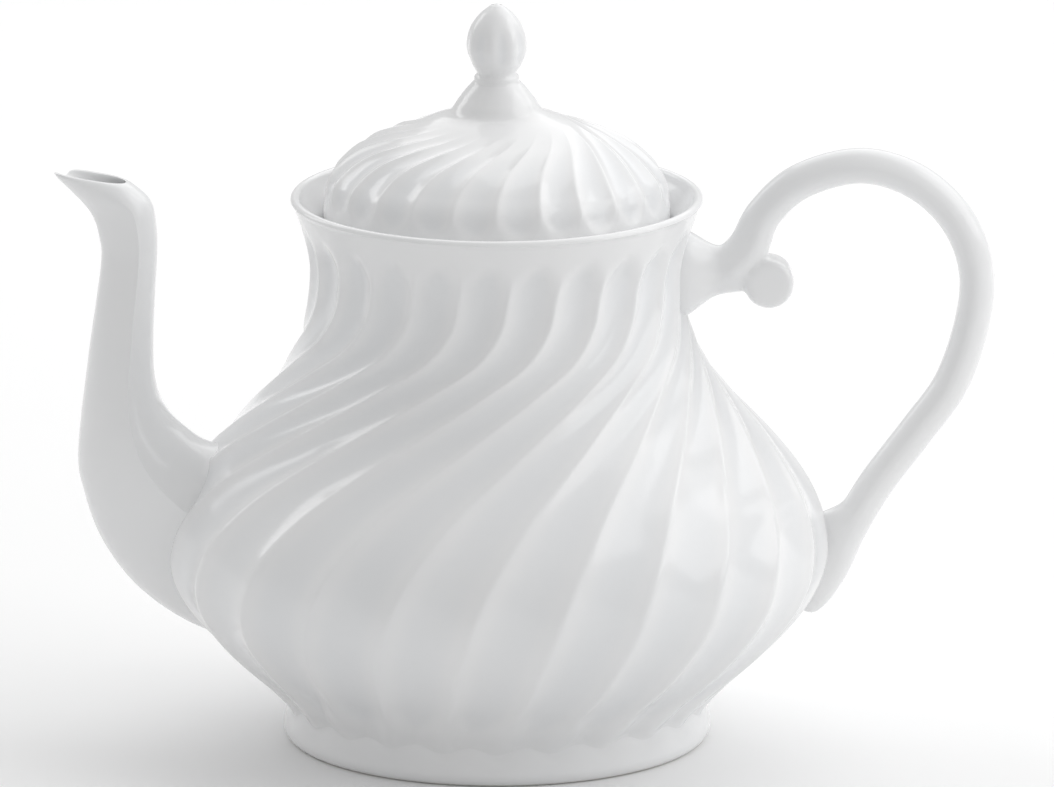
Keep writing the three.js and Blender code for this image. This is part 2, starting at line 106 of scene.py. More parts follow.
class PotSizes(bpy.types.PropertyGroup):
    """Sizes of the pot and its foot."""

    rim_height: size("Rim height", "From the table to the rim", POT_HIGH.z)
    belly_radius: size("Belly radius", "At the widest part", (POT_HIGH.y - POT_LOW.y) / 2)
    belly_height: size("Belly height", "From the table to the widest part", 46.9 * MM)
    neck_drop: size("Neck drop", "From the rim to the narrowest part", 18.1 * MM)
    neck_radius: size("Neck radius", "At the narrowest part", 44.8 * MM)
    rim_radius: size("Rim radius", "Of the rolled lip", 49.4 * MM)
    lip: size("Lip", "Radius of the lip's rounding", 1.1 * MM)
    wall: size("Wall", "Thickness behind the flutes", 2.8 * MM)
    floor: size("Floor", "Thickness of the floor", 4 * MM)
    gallery_radius: size("Gallery radius", "Inside the neck, round the lid", 42.7 * MM)
    ledge_radius: size("Ledge radius", "Of the hole that the flange passes", 37 * MM)
    ledge_drop: size("Ledge drop", "From the rim to the ledge", 9.3 * MM)
    ledge: size("Ledge", "Thickness of the ledge", 3 * MM)
    foot_height: size("Foot height", "From the table to the body", POT_LOW.z)
    foot_radius: size("Foot radius", "Where the body meets its foot", 50.4 * MM)
    foot_bulge: size("Foot bulge", "By which the foot swells", 1 * MM)
    foot_wall: size("Foot wall", "Thickness of the foot ring", 6.2 * MM)
    foot_wave: size("Foot wave", "Height of the scallops over the foot", 1.8 * MM)
    flute_depth: size("Flute depth", "Usual depth of the pot's flutes", 1.35 * MM)
    strainer_radius: size("Strainer radius", "Of each hole behind the spout", 2.3 * MM)
    strainer_pitch: size("Strainer pitch", "Between the strainer's holes", 8 * MM)
    strainer_rise: size("Strainer rise", "Above the belly's widest part", 3 * MM)
    flutes: IntProperty(name="Flutes", description="Number of flutes", default=24, min=3)


class SpoutSizes(bpy.types.PropertyGroup):
    """Sizes of the spout."""

    wall: size("Wall", "Thickness at the base", 2.4 * MM)
    lip_wall: size("Lip wall", "Thickness at the mouth", 1.5 * MM)
    sink: size("Sink", "Depth of the base in the pot's wall", 2.2 * MM)
    notch: size("Notch", "Depth of the notch between the lip's two ears", 4.6 * MM)
    ear: size("Ear", "By which the front ear is longer", 3.2 * MM)


class HandleSizes(bpy.types.PropertyGroup):
    """Sizes of the handle."""

    thickness: size("Thickness", "Of the strand, seen from the side", 8.6 * MM)
    width: size("Width", "Of the strand, seen from the front", 9.6 * MM)
    scroll_radius: size("Scroll radius", "Of the scroll's boss", 6 * MM)
    scroll_width: size("Scroll width", "Across the scroll's boss", 10.4 * MM)
    arm_height: size("Arm height", "Of the arm between neck and scroll", 13.4 * MM)
    arm_flare: size("Arm flare", "Of each side of the arm at the neck", 4.4 * MM)
    grain: size("Grain", "Size of the cells that the parts are joined on", 0.42 * MM)


class LidSizes(bpy.types.PropertyGroup):
    """Sizes of the lid, its flange, its lug and its knob."""

    radius: size("Radius", "At the lid's widest part", (LID_HIGH.y - LID_LOW.y) / 2)
    wall: size("Wall", "Thickness behind the flutes", 3 * MM)
    band: size("Band", "Height of the smooth band", 12 * MM)
    flute_depth: size("Flute depth", "Depth of the lid's flutes", 0.9 * MM)
    turn: FloatProperty(
        name="Turn", description="Turn of a flute on its way to the axis", unit="ROTATION",
        default=math.radians(98))
    vent_radius: size("Vent radius", "Of the steam hole", 1.5 * MM)
    vent_reach: size("Vent reach", "From the axis to the steam hole", 17 * MM)
    flange_wall: size("Flange wall", "Thickness of the flange", 2.6 * MM)
    waist_radius: size("Waist radius", "Under the knob", 4.8 * MM)
    knob_ribs: IntProperty(name="Ribs", description="Ribs of the knob", default=8, min=3)
    knob_rib_depth: size("Rib depth", "Depth between the knob's ribs", 0.42 * MM)


class Finishes(bpy.types.PropertyGroup):
    """Colours of the porcelain and the stage."""

    porcelain: colour("Porcelain", "Glazed white body", (0.86, 0.862, 0.865))
    pooled: colour("Pooled glaze", "Where the glaze lies thick", (0.80, 0.812, 0.825))
    bisque: colour("Bisque", "Unglazed porcelain", (0.80, 0.79, 0.765))
    floor: colour("Floor", "Plain pale floor", (0.92, 0.92, 0.92))
    roughness: FloatProperty(
        name="Roughness", description="Of the glaze", default=0.13, min=0, max=1, subtype="FACTOR")


# ---- Curves ----

def mm(*values):
    """A point given in millimetres."""
    return Vector(values) * MM


def at(radius, height):
    """A point of a profile."""
    return Vector((radius, height))


def fade(value, start, end):
    """Rises smoothly from 0 at the start to 1 at the end."""
    share = min(max((value - start) / (end - start), 0), 1)
    return share * share * (3 - 2 * share)


def between(values, share):
    """The point of a smooth curve through evenly spaced values, at a share of its way."""
    place = min(max(share, 0), 1) * (len(values) - 1)
    i = min(int(place), len(values) - 2)
    t = place - i
    before, start, end, after = (values[min(max(i + k, 0), len(values) - 1)] for k in (-1, 0, 1, 2))
    into, out = (end - before) / 2, (after - start) / 2
    return (start * (2 * t ** 3 - 3 * t ** 2 + 1) + into * (t ** 3 - 2 * t ** 2 + t)
            + end * (3 * t ** 2 - 2 * t ** 3) + out * (t ** 3 - t ** 2))


def direction(values, share, step=0.002):
    """The way that such a curve of points goes there."""
    return (between(values, share + step) - between(values, share - step)).normalized()


def chain(curves, steps):
    """Points along Bezier curves that follow each other."""
    points = []
    for curve, count in zip(curves, steps):
        points += [p.to_2d() for p in interpolate_bezier(*curve, count + 1)][:-1]
    return points + [curves[-1][3]]


def arc(centre, radius, start, end, steps=ROUNDING_STEPS):
    """Points of an arc in a profile, between two angles in degrees."""
    angles = [math.radians(start + (end - start) * i / steps) for i in range(steps + 1)]
    return [centre + radius * Vector((math.cos(a), math.sin(a))) for a in angles]


def offset(profile, distance):
    """A profile moved to its left, as walked, by a distance."""
    moved = []
    for i, point in enumerate(profile):
        way = (profile[min(i + 1, len(profile) - 1)] - profile[max(i - 1, 0)]).normalized()
        moved.append(point + distance * Vector((-way.y, way.x)))
    return moved


# ---- Meshes ----

def about(radius, degrees, height):
    """The place at a radius, an angle round the pot and a height."""
    angle = math.radians(degrees)
    return Vector((AXIS_X + radius * math.sin(angle), -radius * math.cos(angle), height))


def turned(profile, columns, shape=None):
    """Spins a profile about the pot's axis. shape(row, share of a full turn) may give another
    radius, angle and height for a vertex, and how deep it lies in a hollow from 0 to 1."""
    bm = bmesh.new()
    rows = bm.verts.layers.int.new("row")
    hollow = bm.verts.layers.float.new("hollow")
    corners = []
    for row, point in enumerate(profile):
        vert = bm.verts.new((point.x, 0, point.y))
        vert[rows] = row
        corners.append(vert)
    edges = [bm.edges.new(pair) for pair in zip(corners, corners[1:])]
    bmesh.ops.spin(
        bm, geom=corners + edges, cent=(0, 0, 0), axis=(0, 0, 1), angle=2 * math.pi,
        steps=columns, use_merge=True)
    for vert in bm.verts:
        point, share = profile[vert[rows]], 0
        if vert.co.to_2d().length > 1e-7:
            share = math.atan2(vert.co.y, vert.co.x) / (2 * math.pi) % 1
        radius, degrees, height, depth = point.x, 360 * share, point.y, 0
        if shape:
            radius, degrees, height, depth = shape(vert[rows], share)
        vert.co = about(radius, degrees, height)
        vert[hollow] = depth
    bm.verts.layers.int.remove(rows)
    return closed(bm)


def closed(bm):
    """Joins what lies together, closes the ends and turns the faces outwards."""
    bmesh.ops.remove_doubles(bm, verts=bm.verts, dist=1e-6)
    bmesh.ops.dissolve_degenerate(bm, edges=bm.edges, dist=1e-7)
    ends = [edge for edge in bm.edges if edge.is_boundary]
    if ends:
        bmesh.ops.holes_fill(bm, edges=ends, sides=0)
    bmesh.ops.recalc_face_normals(bm, faces=bm.faces)
    return bm


def wrapped(columns, rows, place):
    """Wraps a grid into an open tube: place(share of its length, share of a turn) is a vertex."""
    bm = bmesh.new()
    bmesh.ops.create_grid(bm, x_segments=columns, y_segments=rows, size=0.5)
    for vert in bm.verts:
        vert.co = place(vert.co.y + 0.5, (vert.co.x + 0.5) % 1)
    bmesh.ops.remove_doubles(bm, verts=bm.verts, dist=1e-6)
    return bm


def add_rod(bm, radius, length, matrix, segments=32):
    """Adds a cylinder with closed ends."""
    bmesh.ops.create_cone(
        bm, cap_ends=True, segments=segments, radius1=radius, radius2=radius, depth=length,
        matrix=matrix)


def round_off(bm, edges, radius, segments):
    """Rounds edges to a radius."""
    bmesh.ops.bevel(
        bm, geom=edges, offset=radius, offset_type="OFFSET", segments=segments, profile=0.5,
        affect="EDGES", material=-1)


def piece(name, bm, material, sharp=SHARP_FROM):
    """Makes a bmesh an object with a material, smooth but for edges past an angle."""
    mesh = bpy.data.meshes.new(name)
    bm.to_mesh(mesh)
    bm.free()
    mesh.shade_smooth()
    mesh.set_sharp_from_angle(angle=math.radians(sharp))
    made = bpy.data.objects.new(name, mesh)
    bpy.context.scene.collection.objects.link(made)
    if material:
        mesh.materials.append(material)
    return made


def applied(made):
    """Applies an object's modifiers to its mesh."""
    graph = bpy.context.evaluated_depsgraph_get()
    mesh = bpy.data.meshes.new_from_object(made.evaluated_get(graph))
    made.modifiers.clear()
    made.data = mesh
    return made


def cut(made, cutters):
    """Cuts a bmesh of closed solids out of an object."""
    tool = piece("cutter", cutters, None)
    boolean = made.modifiers.new("cut", "BOOLEAN")
    boolean.object = tool
    boolean.solver = "MANIFOLD"
    applied(made)
    bpy.data.objects.remove(tool)
    made.data.set_sharp_from_angle(angle=math.radians(SHARP_FROM))
    return made


def stand_for(made, body, slot, *nodes):
    """The piece moves with a body and takes the place of CAD nodes."""
    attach(made, body)
    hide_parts(*nodes)


# ---- Flutes ----

RIDGE_ROUNDING = 0.1  # share of a flute's half width over which the glaze rounds its ridge
CROWDING = 0.6  # how far a flute's columns are drawn towards its ridges


def flute(share, flutes):
    """Where a share of a full turn lies: its angle in degrees, with the columns crowded at the
    ridges, and its place in its flute, from -1 on one ridge to 1 on the next."""
    number, within = divmod(share * flutes, 1)
    across = 2 * within - 1
    across = (1 - CROWDING) * across + CROWDING * math.sin(math.pi / 2 * across)
    return (number + (across + 1) / 2) * 360 / flutes, across


def swell(across):
    """Rises softly from 0 in a flute's middle to 1 on its ridges."""
    return (1 - math.cos(math.pi * across)) / 2


def scoop(across):
    """Depth of a flute's round hollow at a place across it: 0 on its ridges, 1 in its middle."""
    out = abs(across)
    edge = 1 - RIDGE_ROUNDING
    depth = 1 - out * out
    if out > edge:
        past = out - edge
        depth = 1 - edge * edge - 2 * edge * (past - past * past / (2 * RIDGE_ROUNDING))
    return (depth - RIDGE_ROUNDING) / (1 - RIDGE_ROUNDING)


# ---- The pot ----

FLUTE_END = 7.5 * MM  # height over which a flute runs out
FLUTE_ARCH = 4 * MM  # by which a flute's end is longer in its middle than at its ridges
RIM_ARCH = 0.7  # share of that arch at the end by the rim
FOOT_BAND = 0.8 * MM  # smooth band above the foot
RIM_BAND = 5 * MM  # smooth band below the rim
FOOT_WAVE_FADE = 8 * MM  # height over which the scallops over the foot fade out

# How far round a ridge of the pot has turned, in degrees, and how deep the flutes are, as a
# share of their usual depth, at evenly spaced heights from the foot to the rim.
POT_TURN = [
    -29.8, -26.6, -23.9, -22.5, -20.6, -18.6, -16.1, -12.3, -7.1, 1.2, 12.1, 25.5, 39.2, 46.3,
    48.6, 50.2, 52.5]
POT_DEPTHS = [
    1.2, 1.25, 1.25, 1.2, 1.15, 1.1, 0.95, 0.75, 0.6, 0.55, 0.6, 0.75, 1.05, 1.3, 1.35, 1.35]


def from_foot_to_rim(values, height, pot):
    """What a list of values from the foot to the rim comes to at a height."""
    return between(values, (height - pot.foot_height) / (pot.rim_height - pot.foot_height))


def neck_of(pot):
    """The pot's outline at its neck: (radius, height)."""
    return at(pot.neck_radius, pot.rim_height - pot.neck_drop)


def pot_outline(pot, steps):
    """The pot's outside from its foot to its rim: belly, shoulder, neck and flare."""
    foot = at(pot.foot_radius, pot.foot_height)
    belly = at(pot.belly_radius, pot.belly_height)
    neck = neck_of(pot)
    rim = at(pot.rim_radius, pot.rim_height)
    rise, climb = belly.y - foot.y, neck.y - belly.y
    shoulder = neck.lerp(belly, 0.463)
    shoulder.y = neck.y - 0.53 * climb
    slope = at(-0.67, 0.74) * climb
    up = at(0, 1)
    # The first three curves' handles are shares of the rise to the belly or the climb to the neck.
    return chain([
        (foot, foot + at(0.03, 0.12) * rise, belly - 0.45 * rise * up, belly),
        (belly, belly + 0.21 * climb * up, shoulder - 0.18 * slope, shoulder),
        (shoulder, shoulder + 0.15 * slope, neck - 0.3 * climb * up, neck),
        (neck, neck + 0.28 * pot.neck_drop * up, rim - mm(2.2, 6), rim),
    ], steps)


def radius_at(outline, height):
    """The radius of an outline at a height."""
    for low, high in zip(outline, outline[1:]):
        if low.y <= height <= high.y:
            return low.x + (high.x - low.x) * (height - low.y) / (high.y - low.y)
    return (outline[0] if height < outline[0].y else outline[-1]).x


def foot_wave(across, height, pot):
    """By how much the line over the foot is higher in a flute, fading out up the body."""
    fading = 1 - fade(height, pot.foot_height, pot.foot_height + FOOT_WAVE_FADE)
    return pot.foot_wave * (0.5 - swell(across)) * fading


def pot_profile(pot):
    """The pot's whole profile from the axis underneath, up the outside and down the inside to
    the axis again, and the numbers of its first and last fluted points."""
    ledge = pot.rim_height - pot.ledge_drop
    under = ledge - pot.ledge
    floor = pot.foot_height + pot.floor
    gallery = at(pot.gallery_radius, ledge)
    outside = pot_outline(pot, OUTLINE_STEPS)
    # The outside ends where the lip's rounding starts, and a cove leads from it to the gallery.
    outside[-1] = outside[-1] - at(0, pot.lip)
    outside = [p for p in outside[:-1] if p.y < outside[-1].y] + [outside[-1]]
    lip = arc(at(pot.rim_radius - pot.lip, pot.rim_height - pot.lip), pot.lip, 0, 180, 10)
    tight = 0.8 * MM
    cove = chain([(
        lip[-1], lip[-1] - mm(0.7, 3), gallery + mm(0.3, 3.4), gallery + at(0, tight))], (8,))
    corner = arc(gallery + at(-tight, tight), tight, 0, -90)
    rounding = 0.6 * MM
    ledge_edge = arc(at(pot.ledge_radius + rounding, ledge - rounding), rounding, 90, 180)
    ledge_foot = arc(at(pot.ledge_radius + rounding, under + rounding), rounding, 180, 270)
    inside = [
        p for p in reversed(offset(pot_outline(pot, INNER_STEPS), pot.wall + pot.flute_depth))
        if floor + 4 * MM < p.y < under - 3 * MM]
    wide = 2.5 * MM
    cove_under = arc(at(inside[0].x - wide, under - wide), wide, 90, 0)
    bowl = chain([(
        inside[-1], inside[-1] - mm(3, 3.2), at(pot.foot_radius - 4 * MM, floor),
        at(pot.foot_radius - 12 * MM, floor))], (6,))[1:]
    # The underside rises a little towards the axis.
    start = [
        at(0, pot.foot_height + 1.5 * MM),
        at(pot.foot_radius / 2, pot.foot_height + 1.1 * MM),
        at(pot.foot_radius - pot.foot_wall, pot.foot_height),
    ]
    profile = start + outside + lip[1:] + cove[1:-1] + corner + ledge_edge + ledge_foot
    profile += cove_under + inside + bowl
    profile += [at(pot.foot_radius / 3, floor), at(0, floor)]
    return profile, len(start), len(start) + len(outside) - 1


def pot_mesh(pot):
    """The hollow pot: fluted outside, smooth inside, with its lip and the ledge for the lid."""
    profile, first, last = pot_profile(pot)
    normals = [p - q for p, q in zip(profile, offset(profile, 1))]

    def shape(row, share):
        point = profile[row]
        degrees, across = flute(share, pot.flutes)
        degrees += from_foot_to_rim(POT_TURN, point.y, pot)
        if not first <= row <= last:
            return point.x, degrees, point.y, 0
        arch = FLUTE_ARCH * swell(across)
        from_foot = point.y - pot.foot_height - arch - FOOT_BAND
        from_rim = pot.rim_height - RIM_BAND - point.y - RIM_ARCH * arch
        ends = fade(from_foot, 0, FLUTE_END) * fade(from_rim, 0, FLUTE_END)
        depth = scoop(across) * ends
        deep = pot.flute_depth * from_foot_to_rim(POT_DEPTHS, point.y, pot)
        place = point - normals[row] * depth * deep
        wave = foot_wave(across, point.y, pot)
        return place.x, degrees, place.y + wave, depth

    return turned(profile, COLUMNS_PER_FLUTE * pot.flutes, shape)


def pot_cutters(pot):
    """The strainer's holes behind the spout, and the notch that the lid's lug lifts through."""
    bm = bmesh.new()
    height = pot.belly_height + pot.strainer_rise
    sideways = Matrix.Rotation(math.pi / 2, 4, "Y")
    # One hole in the middle and six round it.
    for i in range(7):
        reach = pot.strainer_pitch if i else 0
        angle = math.radians(60 * i)
        centre = Vector((
            AXIS_X - pot.belly_radius, reach * math.cos(angle), height + reach * math.sin(angle)))
        matrix = Matrix.Translation(centre) @ sideways
        add_rod(bm, pot.strainer_radius, pot.belly_radius / 2, matrix)
    clearance = 0.8 * MM
    inner, outer = pot.ledge_radius / 2, LUG_HIGH.y + clearance
    width = LUG_HIGH.x - LUG_LOW.x + 2 * clearance
    centre = Vector((AXIS_X, (inner + outer) / 2, pot.rim_height - pot.ledge_drop - pot.ledge / 2))
    notch = Matrix.Diagonal((width, outer - inner, 3 * pot.ledge, 1))
    bmesh.ops.create_cube(bm, size=1, matrix=Matrix.Translation(centre) @ notch)
    return bm


def foot_mesh(pot):
    """The foot ring, with its scalloped line under the body."""
    high = pot.foot_height
    rounding = 1.4 * MM
    inside = pot.foot_radius - pot.foot_wall
    seat = at(pot.foot_radius - rounding, 0)
    widest = at(pot.foot_radius + pot.foot_bulge, 0.32 * high)
    top = at(pot.foot_radius, high)
    outside = chain([
        (seat, seat + mm(1.3, 0), widest - mm(0, 1.3), widest),
        (widest, widest + mm(0, 1.8), top - mm(0.05, 1.6), top),
    ], (8, 14))
    profile = [at(inside + rounding, 0), *outside, at(inside, high + 0.3 * MM)]
    profile += [at(inside, 1.6 * MM), at(inside + 0.3 * MM, 0.5 * MM), profile[0]]

    def shape(row, share):
        point = profile[row]
        degrees, across = flute(share, pot.flutes)
        degrees += POT_TURN[0]
        rise = fade(point.y, 0.35 * high, high) if row <= len(outside) else 0
        wave = foot_wave(across, high, pot) * rise
        return point.x, degrees, point.y + wave, 0

    return turned(profile, COLUMNS_PER_FLUTE * pot.flutes, shape)


# ---- The spout ----

END_ROUNDNESS = 2.2  # of a section's two ends, away from its ridges: above 2 is blunt

# The spout's edges in the plane through the pot's axis, from inside the pot to the mouth, in
# millimetres outside the belly and above either the belly's widest part or the rim.
SPOUT_UNDER = {
    "low": [(-26, -25), (-8, -20), (5.9, -10.8), (15, 1.2), (19.6, 14), (20.8, 24), (18.2, 47)],
    "high": [(15.2, -18), (15.4, -10.6), (18.2, -3.2), (27.4, 6.2)],
}
SPOUT_OVER = {
    "low": [(-26, 26), (-12, 24.6), (-4, 29.5), (0.2, 34.6), (2, 40), (2.6, 47), (2.3, 59)],
    "high": [(1.6, -15.6), (1.6, -8.2), (3, -1.7), (8, 3)],
}
SPOUT_HALF_DEPTHS = [d * MM for d in (24, 21, 18.6, 16.6, 14.4, 12.2, 9.6, 7, 6.6, 6.6, 5.4)]
SPOUT_RIDGE = 0.36  # how far towards the pot the soft ridge along each side lies
SPOUT_ROUNDNESS = 1.12  # of the section at its ridges
MOUTH_FROM = 0.88  # share of the spout's length where its section opens into the mouth
MOUTH_OPENING = 1.7  # by which the mouth's section is rounder
LIP_FULLNESS = 0.5  # by which the wall is thicker at the mouth's front
EVEN_WALL_FROM = 0.75  # share of the spout's length where its wall is down to the lip's
LIP_FROM, LIP_TO = 0.3, 0.9  # how far forward in the section that thickening sets in
EAR_PLACE = 0.15  # of each ear, as a share of half a turn from the mouth's front
EAR_END = 0.5  # where the longer ear has run out, as such a share
MOUTH_LENGTH = 114 * MM  # of the under edge for a whole share at the mouth
LIP_ROWS = 5  # rows of the mesh on each side of the lip's edge that roll over it
FLAT_ROWS = 1.5  # rows on each side of it that stay at the mouth's very end
ROOT_STEPS = 100  # in which the spout's way out of the pot is looked for
ROOT_HALVINGS = 12  # that then narrow it down


def spout_edge(edge, pot):
    """An edge of the spout as points (distance from the pot's axis, height)."""
    low = [at(pot.belly_radius, pot.belly_height) + mm(*p) for p in edge["low"]]
    return low + [at(pot.belly_radius, pot.rim_height) + mm(*p) for p in edge["high"]]


def soft_diamond(turn, ridge, roundness):
    """A point of a rounded section with a soft ridge along each side, at a share of a turn:
    its place across, from 1 through a ridge to -1, and its half depth from -1 to 1. A roundness
    of 1 makes the ridge a corner, and 2 makes it round."""
    cosine, sine = math.cos(2 * math.pi * turn), math.sin(2 * math.pi * turn)
    across = math.copysign(abs(cosine) ** (2 / roundness), cosine)
    deep = math.copysign(abs(sine) ** (2 / END_ROUNDNESS), sine)
    return ridge + (1 - math.copysign(ridge, across)) * across, deep


def spout_mesh(pot, spout):
    """The spout's thin shell, from inside the pot's wall to the two ears of its mouth."""
    under, over = spout_edge(SPOUT_UNDER, pot), spout_edge(SPOUT_OVER, pot)
    outline = pot_outline(pot, OUTLINE_STEPS)

    def skin(share, turn, inset):
        low, high = between(under, share), between(over, share)
        thinned = min(share / EVEN_WALL_FROM, 1)
        wall = inset * (spout.wall + (spout.lip_wall - spout.wall) * thinned)
        half = (high - low) / 2
        opened = fade(share, MOUTH_FROM, 1)
        roundness = SPOUT_ROUNDNESS + MOUTH_OPENING * opened
        across, deep = soft_diamond(turn, SPOUT_RIDGE * (1 - opened), roundness)
        fuller = 1 + LIP_FULLNESS * opened * fade(-across, LIP_FROM, LIP_TO)
        half *= 1 - wall * fuller / half.length
        place = (low + high) / 2 + half * across
        depth = (between(SPOUT_HALF_DEPTHS, share) - wall) * deep
        return Vector((AXIS_X - place.x, depth, place.y))

    def outside_pot(share, turn, inset):
        place = skin(share, turn, inset)
        radius = Vector((place.x - AXIS_X, place.y)).length
        return radius > radius_at(outline, place.z) - spout.sink

    def root(turn, inset):
        # The share where the skin comes out of the pot's wall, found in steps and halvings.
        steps = [i / ROOT_STEPS for i in range(ROOT_STEPS)]
        high = next((share for share in steps if outside_pot(share, turn, inset)), None)
        if high is None:
            raise RuntimeError("the spout doesn't come out of the pot")
        low = high - 1 / ROOT_STEPS
        for _ in range(ROOT_HALVINGS):
            middle = (low + high) / 2
            if outside_pot(middle, turn, inset):
                high = middle
            else:
                low = middle
        return high

    def mouth(turn):
        from_front = abs(turn - 0.5) * 2
        notch = spout.notch * (1 - fade(from_front, 0.01, EAR_PLACE))
        back_ear = fade(0.5 - turn, -0.02, 0.02) * (1 - fade(from_front, EAR_PLACE, EAR_END))
        return 1 - (notch + spout.ear * back_ear) / MOUTH_LENGTH

    roots = {}
    rolling = LIP_ROWS / (2 * SPOUT_ROWS)

    def place(length, turn):
        # The first part of the grid runs up the outside, the middle rolls over the lip, and
        # the rest runs down the bore.
        up = 1 - abs(2 * length - 1)
        inset = fade(length, 0.5 - rolling, 0.5 + rolling)
        inner = inset >= 0.5
        key = (round(turn, 5), inner)
        if key not in roots:
            roots[key] = root(turn, 1 if inner else 0)
        start, end = roots[key], mouth(turn)
        share = start + (end - start) * min(up * (1 + FLAT_ROWS / SPOUT_ROWS), 1)
        return skin(share, turn, inset)

    bm = wrapped(SPOUT_COLUMNS, 2 * SPOUT_ROWS, place)
    ends = [edge for edge in bm.edges if edge.is_boundary]
    bmesh.ops.bridge_loops(bm, edges=ends)
    bmesh.ops.recalc_face_normals(bm, faces=bm.faces)
    return bm


# ---- The handle ----

# The line of the handle's strand, in millimetres outside and above the neck's narrowest part,
# outside the belly and below the rim, and outside and above the belly's widest part.
STRAND_FROM_NECK = [(10.2, -0.5), (15.3, 5), (19.2, 13.4), (28, 21.4)]
STRAND_LOOP = [(7.2, -7.1), (20.1, -3.5), (29.9, 5.3), (34.9, 17), (34.6, 29.5), (29.5, 46)]
STRAND_FROM_BELLY = [(20.8, 27.8), (11.3, 14.9), (4.8, 3.6), (1, -5), (-5.6, -16.8)]

# Shares of the strand's length from the scroll to the belly.
STRAND_THINS = (0.04, 0.16)  # between which its thicker start thins down
STRAND_LANDS = (0.82, 0.875)  # between which its inner half thickens towards the belly
STRAND_NARROWS = 0.93  # from which it narrows to its end
STRAND_ROUNDS = 0.96  # from which its end is rounded

STRAND_START = 0.18  # by which its start is thicker
STRAND_ROOT = 1.3  # by which its inner half is thicker where it lands on the belly
STRAND_END = 0.2  # by which its end is narrower
STRAND_RIDGE, STRAND_ROUNDNESS = 0.12, 1.55  # of its section

# The arm's ends, in millimetres outside and above the neck's narrowest part.
ARM_FROM, ARM_TO = (-5, -1.6), (15, 0)
ARM_FLARE = (0.2, 0.7)  # shares of its length between which its flare runs out
ARM_TAPER = 1.2 * MM  # by which its half height shrinks
ARM_SIDE_FLARE = 0.8  # share of the flare that each side gets too
ARM_ROUNDNESS = 1.8  # of its section

SCROLL_PLACE = (20.4, -3.1)  # its centre, in millimetres outside and above the same part
SCROLL_ROUNDING = 1.6 * MM
FILLET_PASSES = 16  # of smoothing that round the fillets where the parts meet
HANDLE_SINK = 2.2 * MM  # how deep it may reach into the pot's wall


def strand_line(pot):
    """The strand's line as points (distance from the pot's axis, height)."""
    neck = neck_of(pot)
    rim = at(pot.belly_radius, pot.rim_height)
    belly = at(pot.belly_radius, pot.belly_height)
    return ([neck + mm(*p) for p in STRAND_FROM_NECK] + [rim + mm(x, -y) for x, y in STRAND_LOOP]
            + [belly + mm(*p) for p in STRAND_FROM_BELLY])


def strand(pot, handle):
    """The handle's strand, a rounded section with a soft ridge along each side."""
    line = strand_line(pot)

    def place(length, turn):
        middle, way = between(line, length), direction(line, length)
        past = max(length - STRAND_ROUNDS, 0) / (1 - STRAND_ROUNDS)
        taper = 1 - STRAND_END * fade(length, STRAND_NARROWS, 1)
        taper *= math.sqrt(max(1 - past * past, 0))
        taper *= 1 + STRAND_START * (1 - fade(length, *STRAND_THINS))
        across, deep = soft_diamond(turn, STRAND_RIDGE, STRAND_ROUNDNESS)
        if across > 0:
            across *= 1 + STRAND_ROOT * fade(length, *STRAND_LANDS)
        spot = middle + Vector((way.y, -way.x)) * across * taper * handle.thickness / 2
        return Vector((AXIS_X + spot.x, deep * taper * handle.width / 2, spot.y))

    return closed(wrapped(HANDLE_COLUMNS, HANDLE_ROWS, place))


def arm(pot, handle):
    """The short arm between neck and scroll, flaring where it meets the neck."""
    start, end = neck_of(pot) + mm(*ARM_FROM), neck_of(pot) + mm(*ARM_TO)

    def place(length, turn):
        flare = handle.arm_flare * (1 - fade(length, *ARM_FLARE))
        half = handle.arm_height / 2 - ARM_TAPER * length + flare
        half_width = handle.width / 2 + ARM_SIDE_FLARE * flare
        across, deep = soft_diamond(turn, 0, ARM_ROUNDNESS)
        spot = start.lerp(end, length)
        return Vector((AXIS_X + spot.x, deep * half_width, spot.y + across * half))

    return closed(wrapped(HANDLE_COLUMNS, ARM_ROWS, place))


def scroll(pot, handle):
    """The boss that the strand's upper end is rolled round."""
    bm = bmesh.new()
    middle = neck_of(pot) + mm(*SCROLL_PLACE)
    centre = Vector((AXIS_X + middle.x, 0, middle.y))
    matrix = Matrix.Translation(centre) @ Matrix.Rotation(math.pi / 2, 4, "X")
    add_rod(bm, handle.scroll_radius, handle.scroll_width, matrix, 48)
    rims = [edge for edge in bm.edges if edge.calc_face_angle() > math.radians(60)]
    round_off(bm, rims, SCROLL_ROUNDING, 4)
    return bm


def handle_object(pot, handle, material):
    """Strand, arm and scroll joined as one casting, with its fillets rounded."""
    bm = bmesh.new()
    for part in (strand(pot, handle), arm(pot, handle), scroll(pot, handle)):
        mesh = bpy.data.meshes.new("part")
        part.to_mesh(mesh)
        part.free()
        bm.from_mesh(mesh)
        bpy.data.meshes.remove(mesh)
    made = piece("porcelain_handle", bm, None)
    remesh = made.modifiers.new("join", "REMESH")
    remesh.mode = "VOXEL"
    remesh.voxel_size = handle.grain
    applied(made)
    bm = bmesh.new()
    bm.from_mesh(made.data)
    # The casting is smoothed. What then reaches too far into the pot is pushed out.
    for _ in range(FILLET_PASSES):
        bmesh.ops.smooth_vert(
            bm, verts=bm.verts, factor=0.5, use_axis_x=True, use_axis_y=True, use_axis_z=True)
    outline = pot_outline(pot, OUTLINE_STEPS)
    for vert in bm.verts:
        flat = Vector((vert.co.x - AXIS_X, vert.co.y))
        least = radius_at(outline, vert.co.z) - HANDLE_SINK
        if flat.length < least:
            flat *= least / flat.length
            vert.co.x, vert.co.y = AXIS_X + flat.x, flat.y
    bm.to_mesh(made.data)
    bm.free()
    made.data.shade_smooth()
    made.data.materials.append(material)
    return made


# ---- The lid ----

